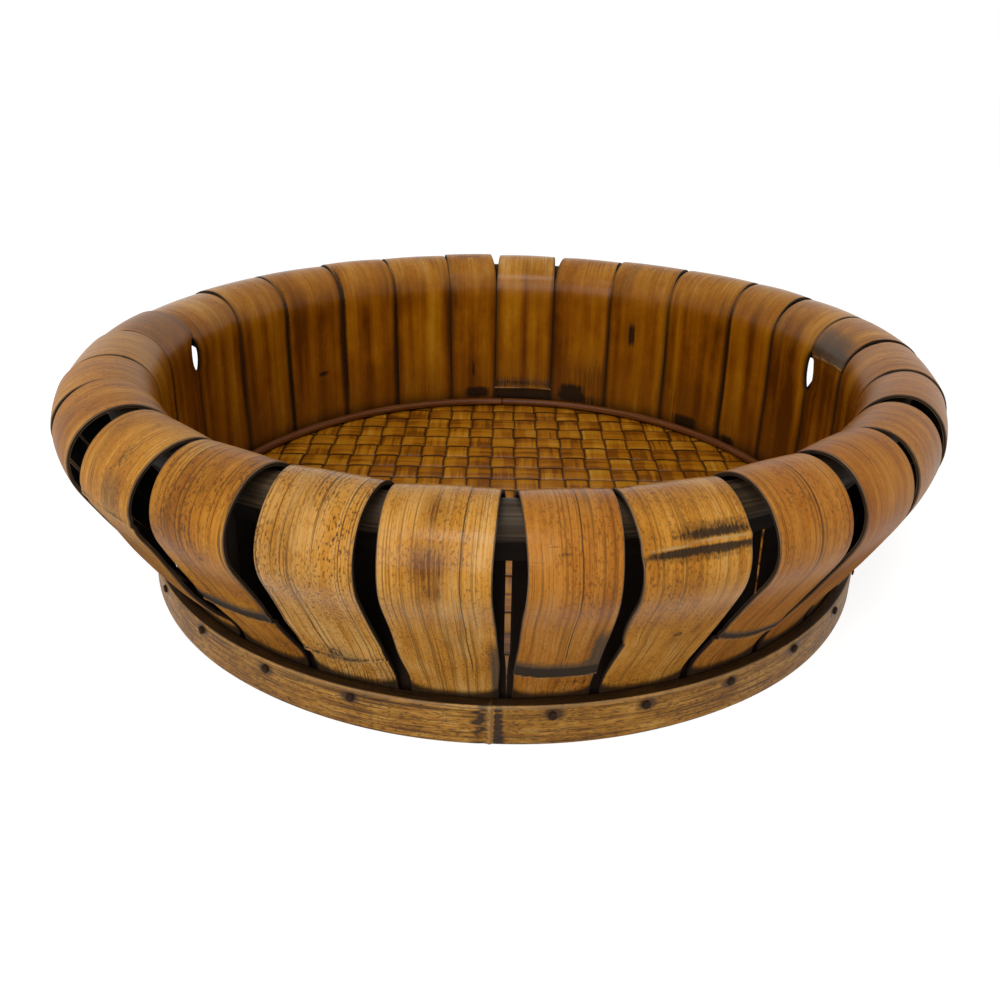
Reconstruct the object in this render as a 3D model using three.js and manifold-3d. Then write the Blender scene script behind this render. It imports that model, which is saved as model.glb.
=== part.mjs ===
// A round bamboo fruit tray. Split-bamboo staves are folded over a hidden rim core, and their two ends are
// gathered and nailed inside a foot hoop. A woven floor lies between an inner hoop and a round trim hoop.
// Millimetres, +Z up, origin on the ground at the centre of the foot, front towards -Y.
// Azimuths run from the front towards +X, and profiles are drawn in radius and height.
import * as THREE from "three";
import { mergeVertices } from "three/addons/utils/BufferGeometryUtils.js";
import Module from "manifold-3d";

const wasm = await Module();
wasm.setup();

// Driving dimensions of the whole tray
const overallDiameter = 320; // across the bulge of the rim
const rimHeight = 82; // ground to the crest of the folds
const seatGap = 0.3; // left between two pieces that bear on each other

// Staves: hand-split strips of unequal width, listed by their share of the rim from the front round by +X
const staveShares = [
  10.9, 12.2, 12.2, 12.3, 12.7, 12.5, 14.8, 13.3, 12.9, 12.3, 15.5, 14, 13.2, 13.3,
  10.5, 13.3, 12.7, 14.5, 13, 15, 12, 12, 10.8, 12.2, 13.9, 12.6, 12.7, 12.7,
];
const firstStaveEdge = 0.4; // degrees from the front to the first stave's near edge
const unnailedStaves = [14, 28]; // held by their neighbours, counted from 1
const staveThickness = 1.7;
const staveGap = 0.5; // between neighbours on the inner wall
const staveEndHeight = 0.8; // trimmed ends of the legs above the ground
const foldRadius = 16; // skin of a stave where it turns over the rim
const bendRadius = 8; // skin of the outer leg where it leans out above the foot

// Rim core: a planed round hoop fixed to a flat band, both inside the folds
const coreRadius = 5.7;
const coreFlat = 1.3; // centre of the round hoop to its planed side
const coreInset = 4.2; // centre of the round hoop inside the centre of the fold
const rimBandThickness = 4;
const rimBandHeight = 15.5;

// Foot: an outer band, a low inner hoop, and one wire nail through each stave
const footHoopThickness = 4;
const footHoopHeight = 13;
const footHoopRounding = 0.6; // edges of the skin side
const innerHoopThickness = 3.6;
const innerHoopHeight = 2.8;
const nailDrop = 3; // below the top edge of the foot hoop
const nailShankRadius = 0.6;
const nailHeadRadius = 1.5;
const nailHeadThickness = 0.7;
const nailPoint = 1.2; // length of the tapered point

// Floor: a woven mat held down by a round trim hoop
const floorThickness = 1.8;
const trimRadius = 1.8;

// Butt joints of the bent hoops: the cut's width, and where each hoop has it, in degrees
const jointGap = 0.7;
const footJoint = -1.2;
const innerHoopJoint = 100;
const trimJoint = 180.5;
const coreJoint = 62;
const rimBandJoint = 242;

// Facets
const hoopSides = 72;
const trimSides = 8;
const coreSides = 7;
const foldSteps = 10;
const bendSteps = 2;
const staveColumns = 3;
const nailSides = 6;

// Places that follow from the dimensions, from the inner wall outwards
const innerLegSkin = overallDiameter / 2 - 2 * foldRadius;
const innerLegBack = innerLegSkin + staveThickness;
const outerLegBack = innerLegBack + seatGap;
const outerLegSkin = outerLegBack + staveThickness;
const footHoopInside = outerLegSkin + seatGap;
const footHoopOutside = footHoopInside + footHoopThickness;
const hoopSeat = innerLegSkin - seatGap; // what is sprung inside the inner wall
const floorBottom = innerHoopHeight + seatGap;
const floorTop = floorBottom + floorThickness;
const nailHeight = footHoopHeight - nailDrop;
const nailLength = footHoopOutside + seatGap - innerLegSkin;

// The fold and the bend of a stave, and the lean of the straight run that is tangent to both
const foldCentre = new THREE.Vector2(overallDiameter / 2 - foldRadius, rimHeight - foldRadius);
const bendCentre = new THREE.Vector2(outerLegSkin + bendRadius, footHoopHeight);
const foldFromBend = foldCentre.clone().sub(bendCentre);
const lean =
  Math.asin((foldRadius + bendRadius) / foldFromBend.length()) + Math.atan2(foldFromBend.x, foldFromBend.y);

// The rim core seats against the inside of the folds, measured to the middle of a facet
const foldStep = (Math.PI + lean) / foldSteps;
const foldRoom = (foldRadius - staveThickness) * Math.cos(foldStep / 2) - seatGap;
const heightInFold = (room, inset) => foldCentre.y + Math.sqrt(room * room - inset * inset);
const coreCentre = new THREE.Vector2(
  foldCentre.x - coreInset,
  heightInFold(foldRoom - coreRadius, coreInset),
);
const rimBandOutside = coreCentre.x - coreFlat - seatGap;
const rimBandInside = rimBandOutside - rimBandThickness;
const rimBandTop = heightInFold(foldRoom, foldCentre.x - rimBandInside);

function finish(color, roughness, metalness = 0) {
  return new THREE.MeshStandardMaterial({ color, roughness, metalness });
}
const skinFinish = finish("#b98645", 0.42);
const footFinish = finish("#a57b3f", 0.5);
const coreFinish = finish("#2c211b", 0.6);
const floorFinish = finish("#a8741f", 0.4);
const trimFinish = finish("#7a4a2c", 0.4);
const nailFinish = finish("#3a2a24", 0.6, 0.8);

// Points on an arc, both ends included
function arc(centre, radius, from, to, steps) {
  return Array.from({ length: steps + 1 }, (_, i) => {
    const angle = from + ((to - from) * i) / steps;
    return new THREE.Vector2(centre.x + radius * Math.cos(angle), centre.y + radius * Math.sin(angle));
  });
}

function solidOf(geometry) {
  const bare = geometry.clone();
  bare.deleteAttribute("normal");
  bare.deleteAttribute("uv");
  const merged = mergeVertices(bare);
  const vertProperties = new Float32Array(merged.getAttribute("position").array);
  const triVerts = new Uint32Array(merged.index.array);
  return new wasm.Manifold(new wasm.Mesh({ numProp: 3, vertProperties, triVerts }));
}

function geometryOf(solid) {
  const { vertProperties, triVerts } = solid.getMesh();
  const geometry = new THREE.BufferGeometry();
  geometry.setAttribute("position", new THREE.BufferAttribute(vertProperties, 3));
  geometry.setIndex(new THREE.BufferAttribute(triVerts, 1));
  geometry.computeVertexNormals();
  return geometry;
}

function cut(geometry, cutters) {
  const left = cutters.reduce((solid, cutter) => solid.subtract(solidOf(cutter)), solidOf(geometry));
  return geometryOf(left);
}

function mesh(name, geometry, material) {
  const made = new THREE.Mesh(geometry, material);
  made.name = name;
  return made;
}

// Rolls a straight extrusion (x radius, y height, z across) round the tray's axis, keeping its width
function wrap(geometry) {
  const points = geometry.getAttribute("position");
  for (let i = 0; i < points.count; i++) {
    const radius = points.getX(i);
    const angle = -points.getZ(i) / radius;
    points.setXYZ(i, radius * Math.sin(angle), -radius * Math.cos(angle), points.getY(i));
  }
  return geometry;
}

// The bore of a nail at the front, through the foot hoop and both legs of a stave
function nailBore() {
  const length = footHoopOutside - innerLegSkin + 2 * footHoopThickness;
  const middle = (footHoopOutside + innerLegSkin) / 2;
  const radius = nailShankRadius + seatGap;
  return new THREE.CylinderGeometry(radius, radius, length, nailSides).translate(0, -middle, nailHeight);
}

// One stave at the front: up the outer leg, over the fold and down the inner leg, then back along the hidden side
function staveGeometry(width, nailed) {
  const outline = [
    new THREE.Vector2(outerLegSkin, staveEndHeight),
    ...arc(bendCentre, bendRadius, Math.PI, Math.PI - lean, bendSteps),
    ...arc(foldCentre, foldRadius, -lean, Math.PI, foldSteps),
    new THREE.Vector2(innerLegSkin, staveEndHeight),
    new THREE.Vector2(innerLegBack, staveEndHeight),
    ...arc(foldCentre, foldRadius - staveThickness, Math.PI, -lean, foldSteps),
    ...arc(bendCentre, bendRadius + staveThickness, Math.PI - lean, Math.PI, bendSteps),
    new THREE.Vector2(outerLegBack, staveEndHeight),
  ];
  const strip = new THREE.ExtrudeGeometry(new THREE.Shape(outline), {
    depth: width,
    steps: staveColumns,
    bevelEnabled: false,
  });
  return cut(wrap(strip.translate(0, 0, -width / 2)), nailed ? [nailBore()] : []);
}

// One nail at the front, its head outside the foot hoop
function nailGeometry() {
  const profile = [
    new THREE.Vector2(0, -nailLength),
    new THREE.Vector2(nailShankRadius, nailPoint - nailLength),
    new THREE.Vector2(nailShankRadius, 0),
    new THREE.Vector2(nailHeadRadius, 0),
    new THREE.Vector2(nailHeadRadius, nailHeadThickness / 2),
    new THREE.Vector2(0, nailHeadThickness),
  ];
  return new THREE.LatheGeometry(profile, nailSides).rotateX(Math.PI);
}

// A bent hoop: a closed profile turned round the axis, with its butt joint and any other cuts
function hoopGeometry(profile, jointDegrees, cutters = []) {
  const box = new THREE.Box2().setFromPoints(profile);
  const size = box.getSize(new THREE.Vector2());
  const centre = box.getCenter(new THREE.Vector2());
  const ring = new THREE.LatheGeometry([...profile, profile[0]], hoopSides).rotateX(Math.PI / 2);
  const joint = new THREE.BoxGeometry(jointGap, 2 * size.x, 2 * size.y)
    .translate(0, -centre.x, centre.y)
    .rotateZ(THREE.MathUtils.degToRad(jointDegrees));
  return cut(ring, [joint, ...cutters]);
}

function bandProfile(inside, outside, bottom, top) {
  return [
    new THREE.Vector2(inside, bottom),
    new THREE.Vector2(outside, bottom),
    new THREE.Vector2(outside, top),
    new THREE.Vector2(inside, top),
  ];
}

function footHoop(nailAzimuths) {
  const profile = [
    new THREE.Vector2(footHoopInside, 0),
    new THREE.Vector2(footHoopOutside - footHoopRounding, 0),
    new THREE.Vector2(footHoopOutside, footHoopRounding),
    new THREE.Vector2(footHoopOutside, footHoopHeight - footHoopRounding),
    new THREE.Vector2(footHoopOutside - footHoopRounding, footHoopHeight),
    new THREE.Vector2(footHoopInside, footHoopHeight),
  ];
  const bores = nailAzimuths.map((azimuth) => nailBore().rotateZ(azimuth));
  return mesh("foot_hoop", hoopGeometry(profile, footJoint, bores), footFinish);
}

function innerHoop() {
  const profile = bandProfile(hoopSeat - innerHoopThickness, hoopSeat, 0, innerHoopHeight);
  return mesh("foot_inner_hoop", hoopGeometry(profile, innerHoopJoint), footFinish);
}

function floorMat() {
  const disc = new THREE.CylinderGeometry(hoopSeat, hoopSeat, floorThickness, hoopSides).rotateX(Math.PI / 2);
  const mat = mesh("floor_mat", disc, floorFinish);
  mat.position.z = (floorBottom + floorTop) / 2;
  return mat;
}

function trimHoop() {
  const centre = new THREE.Vector2(hoopSeat - trimRadius, floorTop + seatGap + trimRadius);
  const profile = arc(centre, trimRadius, 0, 2 * Math.PI, trimSides).slice(0, -1);
  return mesh("floor_trim_hoop", hoopGeometry(profile, trimJoint), trimFinish);
}

function coreHoop() {
  const planed = Math.acos(-coreFlat / coreRadius);
  const profile = arc(coreCentre, coreRadius, -planed, planed, coreSides);
  return mesh("rim_core_hoop", hoopGeometry(profile, coreJoint), coreFinish);
}

function rimBand() {
  const profile = bandProfile(rimBandInside, rimBandOutside, rimBandTop - rimBandHeight, rimBandTop);
  return mesh("rim_band", hoopGeometry(profile, rimBandJoint), coreFinish);
}

// Each stave takes its share of the full turn, less the gap to its neighbour on the inner wall
function staveLayout() {
  const turnPerShare = (2 * Math.PI) / staveShares.reduce((sum, share) => sum + share, 0);
  let edge = THREE.MathUtils.degToRad(firstStaveEdge);
  return staveShares.map((share, i) => {
    const angle = share * turnPerShare;
    const stave = {
      number: String(i + 1).padStart(2, "0"),
      azimuth: edge + angle / 2,
      width: angle * innerLegSkin - staveGap,
      nailed: !unnailedStaves.includes(i + 1),
    };
    edge += angle;
    return stave;
  });
}

const tray = new THREE.Group();
const layout = staveLayout();
for (const { number, azimuth, width, nailed } of layout) {
  const bay = new THREE.Group();
  bay.rotation.z = azimuth;
  bay.add(mesh(`stave_${number}`, staveGeometry(width, nailed), skinFinish));
  if (nailed) {
    const nail = mesh(`foot_nail_${number}`, nailGeometry(), nailFinish);
    nail.position.set(0, -(footHoopOutside + seatGap), nailHeight);
    bay.add(nail);
  }
  tray.add(bay);
}
const nailAzimuths = layout.filter((stave) => stave.nailed).map((stave) => stave.azimuth);
tray.add(footHoop(nailAzimuths), innerHoop(), floorMat(), trimHoop(), coreHoop(), rimBand());

export default tray;
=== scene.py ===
# Bamboo fruit tray: split strips folded over a rim core, nailed into a foot hoop round a woven floor.
# Metres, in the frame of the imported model: +Z up, the front is -Y, azimuth 0 is the front and grows to +X.
import math
import random

import bmesh
import bpy
import numpy as np
from mathutils import Euler, Matrix, Vector


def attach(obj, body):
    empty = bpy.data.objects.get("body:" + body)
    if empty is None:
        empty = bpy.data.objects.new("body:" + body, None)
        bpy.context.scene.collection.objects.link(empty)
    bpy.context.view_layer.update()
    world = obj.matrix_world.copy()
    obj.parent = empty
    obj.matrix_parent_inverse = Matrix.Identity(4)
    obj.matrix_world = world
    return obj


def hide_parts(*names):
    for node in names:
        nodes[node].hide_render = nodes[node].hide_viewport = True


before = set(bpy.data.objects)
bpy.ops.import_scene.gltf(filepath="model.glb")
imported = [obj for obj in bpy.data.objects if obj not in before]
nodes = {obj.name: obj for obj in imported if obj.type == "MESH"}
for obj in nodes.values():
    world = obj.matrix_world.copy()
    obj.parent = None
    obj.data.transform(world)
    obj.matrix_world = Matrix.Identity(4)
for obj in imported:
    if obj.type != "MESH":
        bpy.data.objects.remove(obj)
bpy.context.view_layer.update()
mm = 0.001
fullTurn = 2 * math.pi
chance = random.Random(2804)


def toLinear(code):
    # "#rrggbb" as written on screen to the linear values that Blender works in
    parts = [int(code[i : i + 2], 16) / 255 for i in (1, 3, 5)]
    linear = [p / 12.92 if p <= 0.04045 else ((p + 0.055) / 1.055) ** 2.4 for p in parts]
    return (*linear, 1.0)


def setInputs(node, inputs):
    # inputs by name, or a list in the order in which the node shows them; each is a value, another node's
    # output, or a node, whose first output in use is meant
    if isinstance(inputs, list):
        pairs = zip([socket for socket in node.inputs if socket.enabled], inputs)
    else:
        pairs = [(node.inputs[key], value) for key, value in inputs.items()]
    for socket, value in pairs:
        if isinstance(value, bpy.types.Node):
            value = next(output for output in value.outputs if output.enabled)
        if isinstance(value, bpy.types.NodeSocket):
            node.id_data.links.new(value, socket)
        else:
            socket.default_value = value


def addNode(tree, kind, settings=None, inputs=None):
    # one node with its properties and its inputs
    node = tree.nodes.new("ShaderNode" + kind)
    for key, value in (settings or {}).items():
        setattr(node, key, value)
    setInputs(node, inputs or {})
    return node


def newMaterial(name):
    material = bpy.data.materials.new(name)
    material.use_nodes = True
    tree = material.node_tree
    return material, tree, tree.nodes["Principled BSDF"]


def setRamp(ramp, stops):
    # colour ramp stops as (place, hex colour)
    elements = ramp.color_ramp.elements
    while len(elements) < len(stops):
        elements.new(0.5)
    for element, (place, code) in zip(elements, stops):
        element.position = place
        element.color = toLinear(code)
    return ramp


def readLayer(tree, layer, names):
    # the three values of a mesh layer, each under its own name
    values = addNode(tree, "Attribute", {"attribute_name": layer})
    split = addNode(tree, "SeparateXYZ", None, [values.outputs["Vector"]])
    return dict(zip(names, split.outputs))


def grainNoise(tree, across, along, detail, roughness=0.65, turn=0.0, solid=False):
    # noise drawn out along the grain, by its size in mm; on a solid hoop it also varies up the section
    grain = addNode(tree, "Attribute", {"attribute_name": "grain"})
    fine = 1 / (across * mm)
    scale = (fine, 1 / (along * mm), fine if solid else 1.0)
    scaled = addNode(tree, "Mapping", None,
                     {"Vector": grain.outputs["Vector"], "Rotation": (0, 0, turn), "Scale": scale})
    return addNode(tree, "TexNoise", None,
                   {"Vector": scaled, "Scale": 1.0, "Detail": detail, "Roughness": roughness})


def addUp(tree, total, shares):
    # a sum of values, each times its share
    for value, share in shares:
        total = addNode(tree, "Math", {"operation": "MULTIPLY_ADD"}, [value, share, total])
    return total


def paintOver(tree, colour, layers):
    # flat colours laid over what is below, each as thick as its share
    for share, code in layers:
        colour = addNode(tree, "Mix", {"data_type": "RGBA"}, [share, colour, toLinear(code)])
    return colour


def finishLook(tree, shader, colour, rough, sheen, height, strength, depth):
    # colour, roughness and sheen of a look, with the relief that the height gives, its depth in mm
    relief = addNode(tree, "Bump", None, {"Strength": strength, "Distance": depth * mm, "Height": height})
    setInputs(shader, {"Base Color": colour, "Roughness": rough, "Normal": relief,
                       "Specular IOR Level": sheen})


def newObject(name, data):
    piece = bpy.data.objects.new(name, data)
    bpy.context.scene.collection.objects.link(piece)
    return piece


def dress(piece, node):
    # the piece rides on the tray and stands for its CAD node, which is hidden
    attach(piece, "root")
    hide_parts(node)


def selectOnly(piece):
    bpy.ops.object.select_all(action="DESELECT")
    piece.select_set(True)
    bpy.context.view_layer.objects.active = piece


def applyModifier(piece, kind, settings):
    selectOnly(piece)
    modifier = piece.modifiers.new(kind.lower(), kind)
    for key, value in settings.items():
        setattr(modifier, key, value)
    bpy.ops.object.modifier_apply(modifier=modifier.name)


def setLayer(mesh, name, *columns):
    # one value or three for every vertex, for the materials; a single number holds for all of them
    kind, key = ("FLOAT", "value") if len(columns) == 1 else ("FLOAT_VECTOR", "vector")
    values = np.stack([np.broadcast_to(column, len(mesh.vertices)) for column in columns], 1)
    layer = mesh.attributes.new(name, kind, "POINT")
    layer.data.foreach_set(key, np.ascontiguousarray(values, dtype=np.float32).ravel())


def readPoints(mesh):
    flat = np.zeros(len(mesh.vertices) * 3, np.float32)
    mesh.vertices.foreach_get("co", flat)
    return flat.reshape(-1, 3).astype(float)


def writePoints(mesh, points):
    mesh.vertices.foreach_set("co", np.ascontiguousarray(points, dtype=np.float32).ravel())
    mesh.update()


def smoothStep(value, low, high):
    t = np.clip((value - low) / (high - low), 0.0, 1.0)
    return t * t * (3 - 2 * t)


def bell(value, place, reach, power=2):
    # 1 at the place, falling off to either side
    return np.exp(-(((value - place) / reach) ** power))


def flatGrid(settings):
    # a flat sheet to copy, its points' places across, from -1 to 1 and bunched at the edges, and shares along
    bpy.ops.mesh.primitive_grid_add(x_subdivisions=settings["columns"], y_subdivisions=settings["rows"],
                                    size=1.0)
    sheet = bpy.context.object
    points = readPoints(sheet.data)
    bunch = math.pi * settings["bunch"]
    return sheet, np.sin(points[:, 0] * bunch) / math.sin(0.5 * bunch), points[:, 1] + 0.5


# Camera: low in front of the tray, turned one degree on its own axis
cameraSet = {
    "aim": (-0.00176, 0.0, 0.048),
    "distance": 0.376,
    "pitch": 20.9,
    "roll": 1.01,
    "lens": 34.0,
    "shift": (-0.0017, -0.0864),
}
pitch = math.radians(cameraSet["pitch"])
cameraData = bpy.data.cameras.new("tray_camera")
cameraData.lens = cameraSet["lens"]
cameraData.sensor_width = 36.0
cameraData.shift_x = cameraSet["shift"][0]
cameraData.shift_y = cameraSet["shift"][1]
cameraData.clip_start = 0.01
camera = newObject("tray_camera", cameraData)
cameraTurn = Euler((math.radians(90) - pitch, 0, 0)).to_matrix()
cameraTurn = cameraTurn @ Matrix.Rotation(math.radians(cameraSet["roll"]), 3, "Z")
cameraBack = Vector((0, -math.cos(pitch), math.sin(pitch))) * cameraSet["distance"]
camera.matrix_world = Matrix.Translation(Vector(cameraSet["aim"]) + cameraBack) @ cameraTurn.to_4x4()
bpy.context.scene.camera = camera
bpy.context.scene.view_settings.view_transform = "Standard"
print("camera placed")

# Settings that many nodes share
multiply = {"operation": "MULTIPLY"}
largest = {"operation": "MAXIMUM"}
added = {"operation": "ADD"}
less = {"operation": "SUBTRACT"}
absolute = {"operation": "ABSOLUTE"}

# Stage: white floor and white surroundings, both kept at plain white for what the camera and gloss see
stageSet = {"floorSize": 9.0, "floorDrop": 0.0002, "floorGlow": 0.8, "surroundLight": 0.47}


def raysSeen(tree):
    # 1 for rays from the camera, straight, by gloss or through glass
    rays = addNode(tree, "LightPath")
    seen = addNode(tree, "Math", largest, [rays.outputs["Is Camera Ray"], rays.outputs["Is Glossy Ray"]])
    return addNode(tree, "Math", largest, [seen, rays.outputs["Is Transmission Ray"]])


bpy.ops.mesh.primitive_plane_add(size=stageSet["floorSize"], location=(0, 0, -stageSet["floorDrop"]))
studioFloor = bpy.context.object
studioFloor.name = "studio_floor"
bpy.ops.object.mode_set(mode="EDIT")
bpy.ops.mesh.subdivide(number_cuts=3)
bpy.ops.object.mode_set(mode="OBJECT")

# matt pale card: bounces some light on to the tray and takes its shadow
floorCard, tree, shader = newMaterial("matt_white_card")
setInputs(shader, {"Base Color": toLinear("#adadad"), "Roughness": 0.9, "Specular IOR Level": 0.0})
glow = addNode(tree, "Emission", None, {"Color": (1, 1, 1, 1), "Strength": stageSet["floorGlow"]})
both = addNode(tree, "AddShader", None, [shader, glow])
choice = addNode(tree, "MixShader", None, [raysSeen(tree), shader, both])
setInputs(tree.nodes["Material Output"], {"Surface": choice})
studioFloor.data.materials.append(floorCard)

world = bpy.data.worlds.new("white_surround")
bpy.context.scene.world = world
world.use_nodes = True
tree = world.node_tree
level = addNode(tree, "MapRange", None, [raysSeen(tree), 0.0, 1.0, stageSet["surroundLight"], 1.0])
setInputs(tree.nodes["Background"], {"Color": (1, 1, 1, 1), "Strength": level})

# Soft lights: a window high in front that gives the sheen, and a broad low fill beside the camera
lightSet = {
    "window": {"place": (-0.18, -0.86, 1.1), "size": 0.38, "power": 5.0},
    "fill": {"place": (-0.35, -1.3, 0.4), "size": 0.9, "power": 9.4},
}
lightAim = Vector((0, 0, 0.04))
for lightName, light in lightSet.items():
    lamp = bpy.data.lights.new(lightName + "_light", "AREA")
    lamp.shape = "SQUARE"
    lamp.size = light["size"]
    lamp.energy = light["power"]
    lampObject = newObject(lightName + "_light", lamp)
    lampTurn = (lightAim - Vector(light["place"])).to_track_quat("-Z", "Y")
    lampObject.matrix_world = Matrix.Translation(light["place"]) @ lampTurn.to_matrix().to_4x4()
print("stage and lights placed")

# Bamboo skin under old varnish: warm straw gold, hair-fine fibre lines along the strip, dark flecks, dry
# cracks, and burnt or grey weathered bands at the culm's joints. Satin, with a soft sheen on the fold.
# Patterns: size across and along the strip in mm, detail, and for the scratches roughness and slant
skinSet = {
    "fibre": (0.55, 16.0, 4.0),
    "hair": (0.7, 85.0, 2.0),
    "streak": (4.2, 130.0, 3.0),
    "cloud": (13.0, 24.0, 4.0),
    "fleck": (0.55, 1.25, 3.0),
    "broad": (8.0, 150.0, 1.0),
    "scratch": (9.0, 0.4, 1.0, 0.5, 0.32),
}
# What each layer of a strip's mesh holds
skinLayers = {
    "grain": ("across", "along", "seed"),
    "strip": ("tone", "warm", "inside"),
    "burnsAndShade": ("burnAndShade", "grey", "brown"),
    "lines": ("crackPlace", "crack", "pale"),
    "wearAndShade": ("speck", "edge", "paintedShade"),
    "scar": ("scarAcross", "scarAlong", "scarRadius"),
}
bambooSkin, tree, shader = newMaterial("bamboo_skin_varnished")
pattern = {name: grainNoise(tree, *size) for name, size in skinSet.items()}
skin = {}
for layerName, valueNames in skinLayers.items():
    skin.update(readLayer(tree, layerName, valueNames))
# tone: fibre, broad streaks and clouds, and each strip's own shade
toneOutside = addUp(tree, -0.25, [(pattern["fibre"], 0.5), (pattern["streak"], 0.5), (pattern["cloud"], 0.66),
                                  (skin["tone"], 0.15)])
skinRamp = setRamp(addNode(tree, "ValToRGB", None, [toneOutside]),
                   [(0.32, "#874e0c"), (0.48, "#a76a1b"), (0.62, "#bb7f2b"), (0.84, "#cf9e58")])
# on the inner wall the old varnish is thicker: smoother, with broad amber and brown streaks
toneInside = addUp(tree, -0.2, [(pattern["fibre"], 0.1), (pattern["streak"], 0.3), (pattern["broad"], 0.65),
                                (pattern["cloud"], 0.35), (skin["tone"], 0.15)])
insideRamp = setRamp(addNode(tree, "ValToRGB", None, [toneInside]),
                     [(0.36, "#552a01"), (0.50, "#824802"), (0.62, "#9b6006"), (0.78, "#b27a18")])
bothSides = addNode(tree, "Mix", {"data_type": "RGBA"}, [skin["inside"], skinRamp, insideRamp])
outsideShare = addNode(tree, "MapRange", None, [skin["inside"], 0.0, 1.0, 1.0, 0.3])
warmShare = addNode(tree, "Math", multiply, [skin["warm"], outsideShare])
warmHalf = addNode(tree, "Math", multiply, [warmShare, 0.5])
brownHair = addNode(tree, "MapRange", None, [pattern["fibre"], 0.36, 0.62, 0.12])
brownFull = addNode(tree, "Math", {"operation": "MULTIPLY", "use_clamp": True}, [skin["brown"], brownHair])
# flecks and hair lines all over, thicker in patches and on some strips
fleckDot = addNode(tree, "MapRange", None, [pattern["fleck"], 0.52, 0.62])
fleckPatch = addNode(tree, "MapRange", None, [pattern["cloud"], 0.62, 0.42, 0.25, 1.0])
dotFull = addNode(tree, "Math", multiply, [fleckDot, fleckPatch])
hairLine = addNode(tree, "MapRange", None, [pattern["hair"], 0.53, 0.62, 0.0, 0.9])
hairBreak = addNode(tree, "MapRange", None, [pattern["fleck"], 0.22, 0.46])
hairFull = addNode(tree, "Math", multiply, [hairLine, hairBreak])
fineFull = addNode(tree, "Math", largest, [dotFull, hairFull])
fineShare = addNode(tree, "Math", multiply, [fineFull, skin["speck"]])
# dry cracks drawn where a strip has one, and a few slanting knife scratches
crackOff = addNode(tree, "Math", less, [skin["across"], skin["crackPlace"]])
crackSway = addUp(tree, crackOff, [(pattern["cloud"], 1.2 * mm)])
crackNear = addNode(tree, "Math", absolute, [crackSway])
crackThin = addNode(tree, "MapRange", None, [crackNear, 0.08 * mm, 0.3 * mm, 1.0, 0.0])
crackSome = addNode(tree, "Math", multiply, [crackThin, skin["crack"]])
scratchThin = addNode(tree, "MapRange", None, [pattern["scratch"], 0.755, 0.80, 0.0, 0.6])
scratchSome = addNode(tree, "Math", multiply, [scratchThin, outsideShare])
lineFull = addNode(tree, "Math", largest, [crackSome, scratchSome])
# the oval scar where a twig left the culm: a ring round its place on the strip
scarPoint = addNode(tree, "CombineXYZ", None, [skin["scarAcross"], skin["scarAlong"]])
skinPoint = addNode(tree, "CombineXYZ", None, [skin["across"], skin["along"]])
scarAway = addNode(tree, "VectorMath", {"operation": "DISTANCE"}, [skinPoint, scarPoint])
scarSway = addUp(tree, scarAway, [(pattern["fleck"], 2.2 * mm)])
scarOff = addNode(tree, "Math", less, [scarSway, skin["scarRadius"]])
scarNear = addNode(tree, "Math", absolute, [scarOff])
scarRing = addNode(tree, "MapRange", None, [scarNear, 0.25 * mm, 0.7 * mm, 0.9, 0.0])
crackFull = addNode(tree, "Math", largest, [lineFull, scarRing])
crackShade = addNode(tree, "Math", multiply, [crackFull, 0.85])
# grey weathering, and burnt bands that also carry painted shade in some seams and under the joints' ridges,
# frayed along the fibres and speckled
fray = addUp(tree, -0.85, [(pattern["fibre"], 0.9), (pattern["fleck"], 0.8)])
greyFray = addUp(tree, skin["grey"], [(fray, 0.8)])
greyFull = addNode(tree, "MapRange", None, [greyFray, 0.12, 0.85, 0.0, 0.85])
burnAndShadeFray = addNode(tree, "Math", added, [fray, skin["burnAndShade"]])
burnAndShadeFull = addNode(tree, "MapRange", None, [burnAndShadeFray, 0.25, 0.8, 0.0, 0.94])
# painted shade: dark in the seam between two strips of the inner wall, a thin dark line along the edges
# elsewhere
seamFrom = addNode(tree, "MapRange", None, [skin["inside"], 0.0, 1.0, 0.94, 0.82])
seamLine = addNode(tree, "MapRange", None, [skin["edge"], seamFrom, 0.985])
seamDepth = addNode(tree, "MapRange", None, [skin["inside"], 0.0, 1.0, 0.3, 0.92])
seamShade = addNode(tree, "Math", multiply, [seamLine, seamDepth])
# pale rubbed line on the ridge of a culm's joint
paleFray = addNode(tree, "Math", multiply, [skin["pale"], pattern["fleck"]])
paleFull = addNode(tree, "MapRange", None, [paleFray, 0.26, 0.56])
colour = paintOver(tree, bothSides, [
    (warmHalf, "#9c5418"),
    (brownFull, "#6c3d08"),
    (fineShare, "#482808"),
    (crackShade, "#33200f"),
    (greyFull, "#3e372c"),
    (burnAndShadeFull, "#20160c"),
    (seamShade, "#241204"),
    # painted shadow where the strip goes behind the foot hoop, and painted shade where the inner wall meets
    # the floor
    (skin["paintedShade"], "#140c06"),
    (paleFull, "#a78a5c"),
])
gloss = addNode(tree, "MapRange", None, [pattern["cloud"], 0.3, 0.7, 0.2, 0.3])
matt = addNode(tree, "Attribute", {"attribute_name": "matt"})
rough = addNode(tree, "Math", added, [gloss, matt.outputs["Fac"]])
dips = addNode(tree, "Math", largest, [crackFull, fineShare])
reliefSum = addUp(tree, pattern["fibre"], [(dips, -0.5)])
setInputs(shader, {"IOR": 1.5})
finishLook(tree, shader, colour, rough, sheen=0.13, height=reliefSum, strength=0.15, depth=0.18)
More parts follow.
